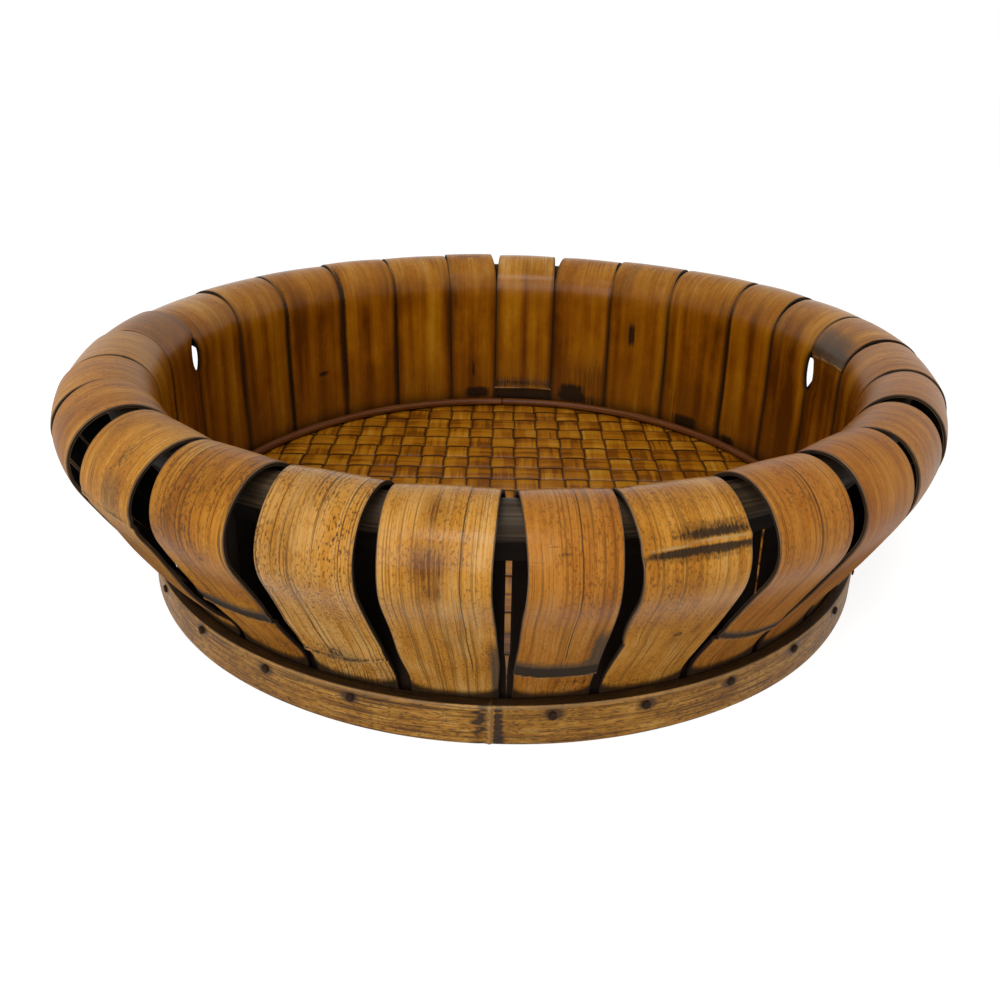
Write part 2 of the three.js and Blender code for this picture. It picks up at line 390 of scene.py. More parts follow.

# Sawn flesh of the strip: near black on the hidden back, painted shade of the dark cavity between the legs;
# dark pores on the cut edges, darkened further as painted shade of the gaps; a paler line where the arris is
# worn
fleshSet = {
    "bamboo_flesh_back_painted_shade": {"dark": "#120b06", "pale": "#22150b", "grit": 0.8},
    "bamboo_cut_edge_pores_and_shade": {"dark": "#1d1209", "pale": "#3a2715", "grit": 0.35},
    "bamboo_arris_worn": {"dark": "#38281a", "pale": "#786148", "grit": 0.5},
}
edgeShadeScale = 200.0
fleshLooks = []
for fleshName, look in fleshSet.items():
    flesh, tree, shader = newMaterial(fleshName)
    pores = grainNoise(tree, look["grit"], along=14.0, detail=3.0, roughness=0.6)
    fleshRamp = setRamp(addNode(tree, "ValToRGB", None, [pores]),
                        [(0.35, look["dark"]), (0.65, look["pale"])])
    # the edges keep their own colour on the fold only; near the foot and on the inner wall they are painted
    # dark as
    # shade: the shadow behind the foot hoop and the dark seams between strips
    fromFoot = readLayer(tree, "grain", skinLayers["grain"])["along"]
    alongShare = addNode(tree, "MapRange", None, [fromFoot, 0.0, edgeShadeScale * mm])
    edgeShadeRamp = setRamp(addNode(tree, "ValToRGB", None, [alongShare]),
                        [(0.12, "#f4f4f4"), (0.30, "#000000"), (0.48, "#000000"), (0.57, "#f4f4f4")])
    colour = paintOver(tree, fleshRamp, [(edgeShadeRamp, "#1c0f06")])
    finishLook(tree, shader, colour, 0.75, sheen=0.15, height=pores, strength=0.4, depth=0.15)
    fleshLooks.append(flesh)

# Strips: one flat sheet is made once, and each copy is laid along the fold of its own CAD node (mm)
staveSet = {
    "count": 28,
    "columns": 24,
    "rows": 208,
    "bunch": 0.86,
    "thickness": 1.2,
    "edgeRound": 0.3,
    "ease": 4.5,
    "endHeight": 0.8,
    "footRadius": 131.7,
    "footHeight": 13.0,
    "bendRadius": 8.0,
    "foldCentre": (144.0, 66.0),
    "foldRadius": 16.0,
    "crown": 0.34,
    "footTaper": 0.8,
    "nodeGap": 0.5,
    "innerGap": -0.25,
    "flatness": 0.78,
}
# Stretches along a strip, from its end in the foot, over which something grows from none to full
staveRuns = {
    "width": (14, 38),
    "onInside": (98, 120),
    "insideLook": (96, 128),
    "free": (11, 26),
    "heldAgain": (166, 178),
    "flat": (16, 44),
    "roundAgain": (150, 176),
    "dustFree": (13, 30),
    "unshadowed": (12.8, 15.4),
    "floorShade": (174, 182),
    "floorBrown": (146, 182),
    "glossy": (42, 72),
}
# Places along a strip that spread, slip or stand out, with their reach to either side
staveHumps = {"spread": (94, 24), "slip": (84, 30), "bulge": (74, 20), "lift": (98, 17)}
bendCentre = (staveSet["footRadius"] + staveSet["bendRadius"], staveSet["footHeight"])
foldFromBend = (staveSet["foldCentre"][0] - bendCentre[0], staveSet["foldCentre"][1] - bendCentre[1])
bothRadii = staveSet["foldRadius"] + staveSet["bendRadius"]
lean = math.asin(bothRadii / math.hypot(*foldFromBend)) + math.atan2(*foldFromBend)
legRun = staveSet["footHeight"] - staveSet["endHeight"]
bendRun = staveSet["bendRadius"] * lean
straightRun = math.sqrt(foldFromBend[0] ** 2 + foldFromBend[1] ** 2 - bothRadii ** 2)
foldRun = staveSet["foldRadius"] * (math.pi + lean)
staveLength = legRun + bendRun + straightRun + foldRun + staveSet["foldCentre"][1] - staveSet["endHeight"]
# By the joint between a strip and the next, with 0 at the front: gap at the inner wall where it isn't closed,
# and how much closer the strips stand on the fold
innerGaps = {0: 1.5, 3: 1.9}
foldSpread = {
    4: 0.1, 5: -1.0, 6: 0.0, 7: 0.2, 8: 1.4, 9: 0.4, 10: 1.2, 11: 1.4, 12: 1.5, 13: 0.4,
    14: 0.2, 15: 1.9, 16: 1.6, 17: 1.6, 18: 1.7, 19: 1.7, 20: 1.7, 21: 1.8, 22: 1.1, 23: 1.4,
}
# Flanks at a joint that are cut back or, below nought, left wider: place along, half length, amount on the
# strip before the joint and on the one after it, softness
jointFlanks = {
    0: [(188, 24, -0.8, -0.8, 0.4)],
    1: [(78, 36, 0.0, -3.2, 0.6)],
    6: [(60, 44, -2.2, -2.2, 0.6)],
    7: [(62, 40, -2.2, -2.2, 0.6)],
    8: [(129.2, 8.5, 4.6, 2.4, 0.6), (76, 18, -3.0, -3.0, 0.8)],
    9: [(52, 20, 3.7, 3.2, 1.2)],
    19: [(56, 20, 2.2, 4.6, 1.2)],
    20: [(124.6, 7.5, 2.4, 5.2, 0.6)],
    21: [(58, 40, -2.2, -2.2, 0.6)],
    22: [(60, 44, -2.2, -2.2, 0.6)],
    23: [(12, 22, -2.1, -2.1, 0.6)],
    25: [(36, 26, -1.7, -1.7, 0.8)],
    26: [(78, 36, 0.0, 1.2, 0.6)],
}
# How far a strip has slipped sideways on the fold
staveSlips = {24: -0.6, 25: 3.2, 26: 0.8, 27: 2.0, 28: -0.5}
# How far the leg of a strip bellies out, and where along it
staveBellies = {
    20: (1.0, 46), 21: (2.0, 46), 22: (3.0, 46), 23: (3.0, 46), 24: (2.5, 46), 25: (3.2, 36), 26: (0.6, 36),
}
bellyReach = 20
# How far the fold of a strip stands out beyond the others, and how far up
staveSwells = {
    3: (-0.6, 0.0), 4: (-2.0, 0.0), 5: (-2.6, 0.0), 6: (-2.4, 0.0), 7: (-1.6, 0.0), 17: (0.0, -0.6),
    18: (0.0, -1.1), 19: (0.0, -1.2), 20: (0.0, -1.0), 21: (0.0, -0.4), 22: (1.0, 0.0), 23: (1.4, 0.0),
    24: (1.8, 0.0), 25: (1.4, 0.0),
}
# How dull the skin of a strip is, and how flecked
staveMatt = {
    3: 0.1, 4: 0.15, 5: 0.15, 6: 0.12, 7: 0.12, 8: 0.1,
    21: 0.1, 22: 0.1, 23: 0.2, 24: 0.25, 25: 0.25, 26: 0.15,
}
staveSpecks = {1: 0.6, 2: 0.6, 3: 0.6, 24: 0.55, 25: 0.65, 26: 0.85, 27: 0.9, 28: 0.65}
# Joints of the culm on a strip: place along, rise, burn above, reach of the burn, painted shadow below the
# ridge, grey, tilt, sag
staveJoints = {
    1: (24.0, 0.6, 1.3, 4.8, 0.4, 1.0, -0.08, 2.0),
    2: (81.0, 0.3, 0.0, 3.4, 0.3, 0.1, 0.04, 0.0),
    3: (29.0, 0.65, 0.95, 2.6, 0.4, 0.9, -0.3, 2.0),
    5: (27.0, 0.6, 0.6, 2.2, 0.2, 0.4, 0.0, 1.0),
    7: (24.0, 0.6, 0.7, 2.6, 0.2, 0.5, 0.02, 1.5),
    8: (120.5, 0.35, 0.15, 3.0, 0.0, 0.5, 0.1, 0.0),
    10: (26.0, 0.6, 0.7, 2.4, 0.2, 0.4, 0.0, 1.0),
    14: (174.5, 0.35, 0.4, 3.0, 1.1, 0.5, 0.0, 0.0),
    17: (22.0, 0.6, 0.8, 2.4, 0.2, 0.5, 0.05, 1.5),
    19: (29.0, 0.6, 0.7, 2.6, 0.2, 0.4, 0.0, 1.0),
    21: (24.0, 0.6, 0.6, 2.2, 0.2, 0.5, -0.05, 1.5),
    23: (33.0, 0.6, 0.5, 2.4, 0.1, 0.4, 0.0, 1.0),
    25: (68.5, 0.45, 0.8, 1.0, 0.3, 0.3, 0.0, 0.5),
    26: (35.8, 0.7, 1.05, 3.3, 0.3, 1.0, 0.12, 1.2),
    27: (23.2, 0.75, 0.8, 1.3, 1.05, 0.3, 0.18, 4.2),
}
# Patches: kind, place along, place across as a share of the half width, half length, half breadth, amount
stavePatches = {
    1: [("grey", 38, 0.86, 14, 2.8, 1.0), ("burnAndShade", 19.5, 0.1, 2.5, 0.5, 0.6),
        ("burnAndShade", 19.5, 0.5, 2.5, 0.5, 0.7), ("burnAndShade", 19.5, 0.75, 2.5, 0.6, 0.7),
        ("burnAndShade", 80.5, -0.2, 0.8, 2.0, 0.7), ("burnAndShade", 13, 0.3, 4, 6, 0.35)],
    2: [("brown", 40, 0.1, 5, 2.5, 0.8), ("brown", 46, 0.45, 3, 1.5, 0.8),
        ("burnAndShade", 82.9, 0.22, 1.2, 11, 0.42), ("burnAndShade", 84.2, 0.24, 2.4, 11, 0.6),
        ("burnAndShade", 79.5, 0.0, 0.9, 15, 0.6), ("burnAndShade", 78.2, 0.0, 1.9, 15, 0.52)],
    3: [("burnAndShade", 84, 0.3, 7, 0.3, 0.8), ("burnAndShade", 78, 0.5, 9, 0.3, 0.9), ("burnAndShade", 74, 0.68, 6, 0.35, 0.9),
        ("burnAndShade", 92, -0.1, 5, 0.3, 0.7), ("burnAndShade", 71, 0.4, 3, 0.4, 0.9)],
    4: [("burnAndShade", 80, 0.2, 7, 0.3, 0.8), ("burnAndShade", 78, 0.42, 8, 0.35, 0.9), ("burnAndShade", 84, 0.6, 6, 0.3, 0.8)],
    8: [("grey", 114, 0.0, 6.5, 16, 0.75)],
    # the long, narrow burn at 0.98 of the half width is painted shade of the dark seam to the next strip
    10: [("burnAndShade", 180, 0.5, 2.6, 5, 0.95), ("burnAndShade", 150, 0.98, 45, 1.4, 0.9)],
    11: [("burnAndShade", 179, 0.15, 4.2, 7.5, 1.0), ("brown", 168, 0.4, 9, 6, 0.7)],
    12: [("burnAndShade", 139.5, 0.18, 6.5, 1.7, 1.0), ("brown", 140, 0.18, 12, 3.5, 0.8),
         ("grey", 108, 0.5, 10, 3.5, 0.35)],
    13: [("burnAndShade", 175, 0.25, 4.6, 7.0, 1.05), ("brown", 170, -0.3, 14, 14, 1.3),
         ("burnAndShade", 179, -0.2, 3, 13, 0.5)],
    14: [("burnAndShade", 170, 0.4, 2.2, 9, 0.35), ("burnAndShade", 179, 0, 3.5, 20, 1.0)],
    15: [("burnAndShade", 177.3, -0.2, 3.2, 6.8, 1.0), ("burnAndShade", 164.5, -0.02, 4.5, 1.0, 0.8),
         ("burnAndShade", 101, 0, 1.5, 7, 0.5)],
    # on strips 16 to 18 the long, narrow burn at the edge is painted shade of the dark seam to the next strip
    16: [("burnAndShade", 150, 0.99, 45, 1.1, 0.9)],
    17: [("burnAndShade", 140, 0.99, 40, 1.5, 0.95)],
    18: [("burnAndShade", 156.5, -0.2, 1.2, 3.2, 0.95), ("burnAndShade", 150, 0.98, 45, 1.6, 0.95)],
    21: [("brown", 100, 0.0, 13, 20, 0.6), ("grey", 104, 0.0, 9, 20, 0.35)],
    22: [("brown", 100, 0.0, 14, 20, 0.3)],
    25: [("grey", 44, 0.0, 23, 20, 0.4), ("grey", 76, 0.5, 6, 5, 0.5), ("burnAndShade", 86, 0.5, 4, 2.5, 0.5),
         ("brown", 92, -0.5, 6, 3, 0.5)],
    26: [("brown", 74, -0.5, 9, 7, 0.8), ("brown", 88, 0.2, 7, 9, 0.4)],
    27: [("burnAndShade", 27.2, -0.2, 1.3, 2.0, 0.62), ("grey", 27, -0.1, 5, 8, 0.4), ("brown", 78, -0.35, 7, 7, 0.7),
         ("brown", 92, -0.1, 8, 9, 0.4)],
    28: [("brown", 77.5, -0.12, 4.2, 4.5, 1.9), ("brown", 70, -0.05, 3, 2.2, 1.4),
         ("grey", 27, 0.92, 18, 2.2, 0.95), ("brown", 91, -0.1, 5, 2.5, 1.3),
         ("brown", 45, 0.1, 4, 1.5, 0.6)],
}
# Scars of twigs: place across as a share of the half width, place along, radius
staveScars = {2: (0.12, 44, 1.9), 26: (0.3, 66, 1.4), 27: (-0.16, 27.6, 2.7)}
# Tone from dark to pale, and how red the strip is
staveTones = {
    1: (-0.1, 0.75), 2: (0.2, 0.05), 3: (-0.3, 0.8), 4: (-0.75, 0.6), 5: (-0.6, 0.4), 6: (-0.5, 0.5),
    7: (-0.3, 0.4), 8: (-0.2, 0.1), 9: (0.0, 0.2), 10: (-0.1, 0.2), 11: (-0.1, 0.0), 12: (0.1, 0.1),
    13: (-0.1, 0.3), 14: (0.4, 0.0), 15: (0.1, 0.0), 16: (0.3, 0.1), 17: (-0.1, 0.3), 18: (-0.35, 0.2),
    19: (0.1, 0.2), 20: (0.2, 0.1), 21: (-0.2, 0.4), 22: (0.1, 0.1), 23: (-0.3, 0.1), 24: (-0.5, 0.1),
    25: (-0.1, 0.0), 26: (-0.6, 0.0), 27: (0.9, 0.0), 28: (0.35, 0.0),
}
# Drawn cracks: place across as a share of the half width, from and to along the strip
staveCracks = {
    1: (0.14, 30, 110), 2: (0.66, 14, 46), 3: (0.1, 38, 112), 4: (-0.3, 84, 112), 28: (0.45, 24, 112),
}


def stripPath(s):
    # radius and height of the skin, s mm along the strip from its end in the foot
    foldR, foldZ = staveSet["foldCentre"]
    bendRadius = staveSet["bendRadius"]
    foldRadius = staveSet["foldRadius"]
    if s < legRun:
        return staveSet["footRadius"], staveSet["endHeight"] + s
    s -= legRun
    if s < bendRun:
        turn = s / bendRadius
        return bendCentre[0] - bendRadius * math.cos(turn), bendCentre[1] + bendRadius * math.sin(turn)
    s -= bendRun
    if s < straightRun:
        startR = bendCentre[0] - bendRadius * math.cos(lean)
        startZ = bendCentre[1] + bendRadius * math.sin(lean)
        return startR + s * math.sin(lean), startZ + s * math.cos(lean)
    s -= straightRun
    if s < foldRun:
        turn = s / foldRadius - lean
        return foldR + foldRadius * math.cos(turn), foldZ + foldRadius * math.sin(turn)
    return foldR - foldRadius, foldZ - (s - foldRun)


# columns stand closer at the edges, so that the rounded edge stays crisp
flatSheet, sheetAcross, sheetShare = flatGrid(staveSet)
sheetAlong = sheetShare * staveLength
grown = {name: smoothStep(sheetAlong, *run) for name, run in staveRuns.items()}
hump = {name: bell(sheetAlong, *placeAndReach) for name, placeAndReach in staveHumps.items()}

# the bends run into the straights softly: the path is eased along its length without losing its size
easeStep = 0.2
easeReach = 20.0
easeAlong = np.arange(-2 * easeReach, staveLength + 2 * easeReach, easeStep)
easePath = np.array([stripPath(s) for s in easeAlong])
easeWeight = np.exp(-0.5 * (np.arange(-easeReach, easeReach + easeStep, easeStep) / staveSet["ease"]) ** 2)
easeWeight = easeWeight / easeWeight.sum()
easedPath = []
for i in range(2):
    once = np.convolve(easePath[:, i], easeWeight, mode="same")
    lost = np.convolve(easePath[:, i] - once, easeWeight, mode="same")
    easedPath.append(once + lost)
slopeR = np.gradient(easedPath[0], easeStep)
slopeZ = np.gradient(easedPath[1], easeStep)
slope = np.hypot(slopeR, slopeZ)
pathParts = (easedPath[0], easedPath[1], slopeZ / slope, -slopeR / slope)
pathTable = [np.interp(sheetAlong, easeAlong, part) for part in pathParts]


def nodeAzimuth(name):
    # where round the tray a CAD node stands, and its full width along the circle in mm
    points = readPoints(nodes[name].data)
    turn = math.atan2(points[:, 0].mean(), -points[:, 1].mean())
    away = np.arctan2(points[:, 0], -points[:, 1]) - turn
    away = (away + math.pi) % fullTurn - math.pi
    reach = np.hypot(points[:, 0], points[:, 1]) / mm
    return turn, 2 * np.abs(away * reach).max()


def makeStave(number):
    nodeName = f"stave_{number:02d}"
    turn, width = nodeAzimuth(nodeName)
    half = 0.5 * width
    phase = [chance.uniform(0, fullTurn) for _ in range(6)]
    bulge, lift = staveSwells.get(number, (0.0, 0.0))
    lift = lift + chance.uniform(-0.25, 0.9)
    bulge = bulge + chance.uniform(0.0, 0.7)
    slip = staveSlips.get(number, 0.0) + chance.uniform(-0.45, 0.45)
    seed = chance.uniform(0, 400)
    tone, warm = staveTones.get(number, (chance.uniform(-0.3, 0.3), chance.uniform(0, 0.4)))
    s = sheetAlong
    across = sheetAcross
    # on the inner wall the strips stand edge to edge, apart from the gaps that are listed
    onInside = grown["onInside"]
    room = np.zeros_like(s)
    for joint, side in ((number - 1, -1), (number % staveSet["count"], 1)):
        opened = innerGaps.get(joint, staveSet["innerGap"]) - staveSet["nodeGap"]
        narrower = 0.5 * onInside * opened + staveSet["footTaper"] * (1 - grown["width"])
        narrower -= foldSpread.get(joint, 0.0) * hump["spread"]
        for place, reach, before, after, softness in jointFlanks.get(joint, []):
            amount = before if side > 0 else after
            narrower += amount * np.clip(1 - ((s - place) / reach) ** 2, 0, 1) ** softness
        room = np.where(across * side > 0, narrower, room)
    # no strip is quite even or straight outside
    uneven = 0.014 * np.sin(s / 21 + phase[0]) + 0.007 * np.sin(s / 7.3 + phase[1]) - 0.016
    ripple = 0.12 * np.sin(s / 5.1 + phase[2] + 2 * across)
    u = across * (half - room) + (1 - onInside) * (across * half * uneven + ripple + slip * hump["slip"])
    # crown of the culm, flattened where the strip is held
    free = grown["free"] * (1 - grown["heldAgain"])
    rise = staveSet["crown"] * free * (0.55 - across ** 2)
    rise += 0.12 * free * np.sin(s / 13 + phase[3]) * np.cos(1.6 * across + phase[4])
    # dust gathers grey behind the foot hoop, and the inner wall is browner towards the bottom; painted shade
    # as well:
    # near black where the strip goes behind the foot hoop, and darker where the inner wall meets the floor
    marks = {
        "burnAndShade": np.zeros_like(s),
        "grey": 0.2 * (1 - grown["dustFree"]),
        "brown": 0.8 * grown["floorBrown"],
    }
    paintedShade = 0.95 * (1 - smoothStep(s - 2.5 * across ** 4, *staveRuns["unshadowed"]))
    paintedShade = np.maximum(paintedShade, 0.55 * grown["floorShade"])
    pale = np.zeros_like(s)
    if number in staveJoints:
        place, height, burnUp, reach, shadowBelow, greyUp, tilt, sag = staveJoints[number]
        d = s - place - 0.25 * np.sin(u / 5 + phase[5]) - tilt * u - sag * across ** 2
        # counted up towards the fold, on the leg and on the inner wall
        d = d if place < 100 else -d
        rise += height * (bell(d, 0, 0.95) + 0.5 * bell(d, 3.2, 2.8) - 0.35 * bell(d, -1.9, 0.9))
        u = u * (1 + 0.022 * bell(d, 0, 1.6))
        marks["burnAndShade"] += burnUp * smoothStep(d, 0.3, 1.0) * (1 - smoothStep(d, reach * 0.8, reach * 1.5))
        # painted shadow under the ridge
        marks["burnAndShade"] += shadowBelow * bell(d, -1.5, 0.8)
        marks["grey"] += greyUp * smoothStep(d, 0.0, 1.0) * (1 - smoothStep(d, reach, reach * 2.4))
        pale = bell(d, 0, 0.6)
    for kind, place, share, longHalf, wideHalf, amount in stavePatches.get(number, []):
        power = 2 if kind == "brown" else 4
        marks[kind] += amount * bell(s, place, longHalf, power) * bell(u, share * half, wideHalf, power)
    crackPlace, crackFrom, crackTo = staveCracks.get(number, (0, 0, 0))
    crackFade = smoothStep(s, crackFrom, crackFrom + 8) * (1 - smoothStep(s, crackTo - 8, crackTo))
    scarShare, scarPlace, scarRadius = staveScars.get(number, (0.0, -40.0, 0.0))
    # the strip is wrapped round the foot and nearly flat across the fold
    r, z, normalR, normalZ = pathTable
    belly, bellyPlace = staveBellies.get(number, (0.0, 46))
    belly = belly * bell(s, bellyPlace, bellyReach) * smoothStep(s, staveSet["footHeight"], bellyPlace - 10)
    r = r + rise * normalR + bulge * hump["bulge"] + belly
    z = z + rise * normalZ + lift * hump["lift"]
    wrapped = 1 - staveSet["flatness"] * grown["flat"] * (1 - grown["roundAgain"])
    angle = turn + u / r
    flatX = r * math.sin(turn) + u * math.cos(turn)
    flatY = -r * math.cos(turn) + u * math.sin(turn)
    x = wrapped * r * np.sin(angle) + (1 - wrapped) * flatX
    y = -wrapped * r * np.cos(angle) + (1 - wrapped) * flatY
    mesh = flatSheet.data.copy()
    mesh.name = "bamboo_" + nodeName
    writePoints(mesh, np.stack([x, y, z], 1) * mm)
    inside = grown["insideLook"]
    setLayer(mesh, "grain", across * half * mm, s * mm, seed)
    setLayer(mesh, "strip", tone, warm, inside)
    setLayer(mesh, "burnsAndShade", marks["burnAndShade"], marks["grey"], marks["brown"])
    setLayer(mesh, "wearAndShade", staveSpecks.get(number, 0.5) * (1 - 0.85 * inside), np.abs(across), paintedShade)
    setLayer(mesh, "lines", (crackPlace * half + 0.6) * mm, crackFade, pale)
    setLayer(mesh, "scar", scarShare * half * mm, scarPlace * mm, scarRadius * mm)
    # the varnish has worn dull low on the leg
    setLayer(mesh, "matt", staveMatt.get(number, 0.0) * (1 - inside) + 0.5 * (1 - grown["glossy"]))
    piece = newObject(mesh.name, mesh)
    for look in (bambooSkin, *fleshLooks):
        mesh.materials.append(look)
    applyModifier(piece, "SOLIDIFY", {"thickness": staveSet["thickness"] * mm, "offset": -1.0,
                                      "use_even_offset": True,
                                      "material_offset": 1, "material_offset_rim": 2})
    applyModifier(piece, "BEVEL", {"width": staveSet["edgeRound"] * mm, "segments": 2, "material": 3,
                                   "limit_method": "ANGLE", "angle_limit": math.radians(50)})
    bpy.ops.object.shade_smooth()
    dress(piece, nodeName)


for staveNumber in range(1, staveSet["count"] + 1):
    makeStave(staveNumber)
bpy.data.objects.remove(flatSheet)
print("28 strips folded")

# Hoops: a section standing at the front, spun from one side of its butt joint to the other (mm, degrees)
# Size: thickness and height of a flat hoop, radius and number of corners of a round one's section
hoopSet = {
    "foot": {"name": "bamboo_foot_hoop", "node": "foot_hoop", "slot": "foot_bamboo", "radius": 134.0,
             "height": 6.5, "size": (4.0, 13.0), "round": 0.6, "joint": -1.2, "gap": 0.03, "steps": 1080,
             "cuts": 15},
    "inner": {"name": "bamboo_inner_foot_hoop", "node": "foot_inner_hoop", "slot": "foot_bamboo",
              "radius": 125.9, "height": 1.4, "size": (3.6, 2.8), "round": 0.4, "joint": 100.0, "gap": 0.7,
              "steps": 360},
    "band": {"name": "dark_rim_band", "node": "rim_band", "slot": "core_bamboo", "radius": 136.2,
             "height": 67.9, "size": (4.0, 15.5), "round": 0.5, "joint": 242.0, "gap": 0.7, "steps": 360},
    "trim": {"name": "rattan_trim_hoop", "node": "floor_trim_hoop", "slot": "trim_rattan", "radius": 125.9,
             "height": 7.0, "size": (1.8, 14), "joint": 180.5, "gap": 0.7, "steps": 540},
    "core": {"name": "dark_rim_core", "node": "rim_core_hoop", "slot": "core_bamboo", "radius": 139.8,
             "height": 72.9, "size": (5.7, 28), "flat": 138.5, "joint": 62.0, "gap": 0.7, "steps": 360},
}


def spinHoop(hoop):
    place = (0, -hoop["radius"] * mm, hoop["height"] * mm)
    upright = (0, math.radians(90), 0)
    if "round" in hoop:
        bpy.ops.mesh.primitive_plane_add(size=1.0, location=place, rotation=upright)
    else:
        bpy.ops.mesh.primitive_circle_add(vertices=hoop["size"][1], radius=hoop["size"][0] * mm,
                                          fill_type="NGON", location=place, rotation=upright)
    piece = bpy.context.object
    piece.name = hoop["name"]
    piece.data.name = hoop["name"]
    bpy.ops.object.transform_apply(location=True, rotation=True, scale=True)
    bpy.ops.object.mode_set(mode="EDIT")
    bpy.ops.mesh.select_all(action="SELECT")
    if "round" in hoop:
        bpy.ops.transform.resize(value=(1, hoop["size"][0] * mm, hoop["size"][1] * mm), center_override=place)
        bpy.ops.mesh.bevel(offset=hoop["round"] * mm, segments=3, affect="VERTICES")
    if "cuts" in hoop:
        # rows up the faces, for the burns and the rust
        bpy.ops.mesh.select_all(action="DESELECT")
        sectionEdit = bmesh.from_edit_mesh(piece.data)
        for edge in sectionEdit.edges:
            if edge.calc_length() > 0.6 * hoop["size"][1] * mm:
                edge.select_set(True)
        bmesh.update_edit_mesh(piece.data)
        bpy.ops.mesh.subdivide(number_cuts=hoop["cuts"])
    if "flat" in hoop:
        bpy.ops.mesh.bisect(plane_co=(0, -hoop["flat"] * mm, 0), plane_no=(0, 1, 0), use_fill=False,
                            clear_outer=True)
    bpy.ops.mesh.select_all(action="SELECT")
    gapAngle = hoop["gap"] / hoop["radius"]
    bpy.ops.mesh.spin(steps=hoop["steps"], angle=fullTurn - gapAngle, center=(0, 0, 0), axis=(0, 0, 1))
    bpy.ops.mesh.select_all(action="SELECT")
    bpy.ops.mesh.fill_holes(sides=0)
    bpy.ops.mesh.select_all(action="SELECT")
    bpy.ops.mesh.normals_make_consistent(inside=False)
    bpy.ops.object.mode_set(mode="OBJECT")
    points = readPoints(piece.data)
    radius = np.hypot(points[:, 0], points[:, 1]) / mm
    sweep = np.arctan2(points[:, 0], -points[:, 1]) % fullTurn
    sweep = np.where(sweep > fullTurn - 0.5 * gapAngle, 0.0, sweep)
    return piece, radius, sweep, points[:, 2] / mm


def placeHoop(piece, hoop, radius, sweep, height):
    # writes the finished section back, turned so that the joint is where it belongs
    turn = sweep + math.radians(hoop["joint"]) + 0.5 * hoop["gap"] / hoop["radius"]
    points = np.stack([radius * np.sin(turn), -radius * np.cos(turn), height], 1)
    writePoints(piece.data, points * mm)
    setLayer(piece.data, "grain", (radius - hoop["radius"]) * mm, sweep * hoop["radius"] * mm, height * mm)
    selectOnly(piece)
    bpy.ops.object.shade_smooth_by_angle(angle=math.radians(35))
    dress(piece, hoop["node"])
    return turn


foot = hoopSet["foot"]
footHoop, radius, sweep, height = spinHoop(foot)
footFace = foot["radius"] + 0.5 * foot["size"][0]
footTop = foot["size"][1]
footAlong = sweep * foot["radius"]
leftOfSeam = fullTurn * foot["radius"] - footAlong
onFace = smoothStep(radius, footFace - 1.0, footFace - 0.1)
# a joint of the culm stands up just left of the seam and two more further round, and no face is quite even
footKnots = (330, 610)
ridge = 0.4 * bell(leftOfSeam, 0.5, 0.7) - 0.15 * bell(leftOfSeam, 2.6, 0.9)
ridge += 0.12 * np.sin(footAlong / 31) + 0.08 * np.sin(footAlong / 12.7 + height / 5)
for knot in footKnots:
    ridge += 0.5 * bell(footAlong, knot, 0.9)
radius += onFace * ridge
topWave = 0.18 * np.sin(footAlong / 43 + 1) + 0.1 * np.sin(footAlong / 17)
height = height + smoothStep(height, footTop - 4, footTop) * topWave
footTurn = placeHoop(footHoop, foot, radius, sweep, height)
# burnt band right of the seam, burnt strokes left of it, and a split that runs under the top edge
band = smoothStep(footAlong, 0.0, 0.5) * (1 - smoothStep(footAlong, 1.6, 4.0))
strokes = 0.3 + 0.7 * np.sin(height / 0.8 + 0.8 * np.sin(footAlong) + 1.4 * np.sin(1.1 * height)) ** 2
split = smoothStep(leftOfSeam, 6, 16) * (1 - smoothStep(leftOfSeam, 100, 140))
footBurnAndShade = (0.95 + 0.4 * np.sin(3.3 * height)) * band
footBurnAndShade += 0.85 * strokes * bell(leftOfSeam, 3.2 + np.sin(1.9 * height), 2.3)
footBurnAndShade += 0.6 * split * bell(height, 11.0 + 0.3 * np.sin(footAlong / 29), 0.7)
footBurnAndShade *= onFace
for knot in footKnots:
    footBurnAndShade += 0.4 * bell(footAlong, knot + 5, 5)
# painted shade: dark on top, in the gap behind the strips, behind a painted highlight along the top edge;
# darker along the bottom, and cloudy all over
onTop = smoothStep(height, footTop - 0.6, footTop - 0.2)
footBurnAndShade += 1.9 * onTop * (1 - smoothStep(radius, footFace - 0.65, footFace - 0.15))
footBurnAndShade += 0.3 * (1 - smoothStep(height, 0.2, 2.2))
footBurnAndShade += 0.16 * np.sin(footAlong / 23 + 2) * np.sin(footAlong / 9.7 + height / 3)
# painted highlight along the rounded top edge
topEdgeHighlight = smoothStep(radius, footFace - 0.4, footFace - 0.05)
topEdgeHighlight *= smoothStep(height, footTop - 1.0, footTop - 0.5)
footPaleAndHighlight = bell(leftOfSeam, 0.4, 0.45) * onFace + 0.5 * topEdgeHighlight
nailNames = sorted(name for name in nodes if name.startswith("foot_nail_"))
nailAngles = [nodeAzimuth(nailName)[0] for nailName in nailNames]
nailHeights = readPoints(nodes[nailNames[0]].data)[:, 2] / mm
nailHeight = 0.5 * (nailHeights.min() + nailHeights.max())
rust = np.zeros_like(footAlong)
for nailAngle in nailAngles:
    away = (footTurn - nailAngle + math.pi) % fullTurn - math.pi
    away = away * foot["radius"] + chance.uniform(-0.6, 0.6)
    distance = np.hypot(away / 1.5, height - nailHeight + chance.uniform(-0.4, 0.4))
    rust = np.maximum(rust, 1.6 * onFace * bell(distance, 0, 2.0))
setLayer(footHoop.data, "burnsAndShade", footBurnAndShade, rust, footPaleAndHighlight)

innerHoop, radius, sweep, height = spinHoop(hoopSet["inner"])
placeHoop(innerHoop, hoopSet["inner"], radius, sweep, height)

